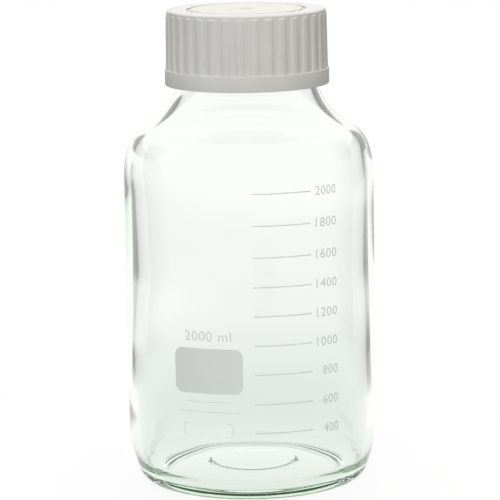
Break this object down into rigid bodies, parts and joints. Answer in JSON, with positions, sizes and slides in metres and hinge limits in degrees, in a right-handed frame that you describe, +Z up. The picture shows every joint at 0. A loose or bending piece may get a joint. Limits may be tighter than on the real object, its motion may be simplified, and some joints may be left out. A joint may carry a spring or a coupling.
{
  "type": "wide-mouth screw cap bottle",
  "caption": "Wide-mouth laboratory glass bottle with a ribbed screw cap, pouring ring, sealing disc and a printed millilitre scale.",
  "frame": {"origin": "centre of the standing ring, on the surface the bottle stands on", "axes": "+Z up the bottle's axis towards the cap; the printed scale faces -Y, with +X to its right"},
  "size_m": [0.136, 0.136, 0.2585],
  "materials": {
    "borosilicate_glass": "clear, fire-polished",
    "cap_polypropylene": "moulded, fine satin",
    "ring_polypropylene": "moulded, fine satin",
    "coated_silicone": "smooth coated"
  },
  "bodies": {
    "bottle": {"bottle": "borosilicate_glass", "pouring_ring": "ring_polypropylene"},
    "seal": {"sealing_disc": "coated_silicone"},
    "cap": {"screw_cap": "cap_polypropylene"}
  },
  "joints": [
    {"name": "cap_lift", "type": "slide", "parent": "bottle", "child": "seal", "axis": [0, 0, 1], "range_m": [0, 0.045]},
    {"name": "cap_turn", "type": "hinge", "parent": "seal", "child": "cap", "pos_m": [0, 0, 0.229], "axis": [0, 0, 1], "range_deg": [0, 900]}
  ],
  "couplings": [
    {"joint": "cap_lift", "follows": "cap_turn", "m_per_rad": 0.0028648}
  ]
}
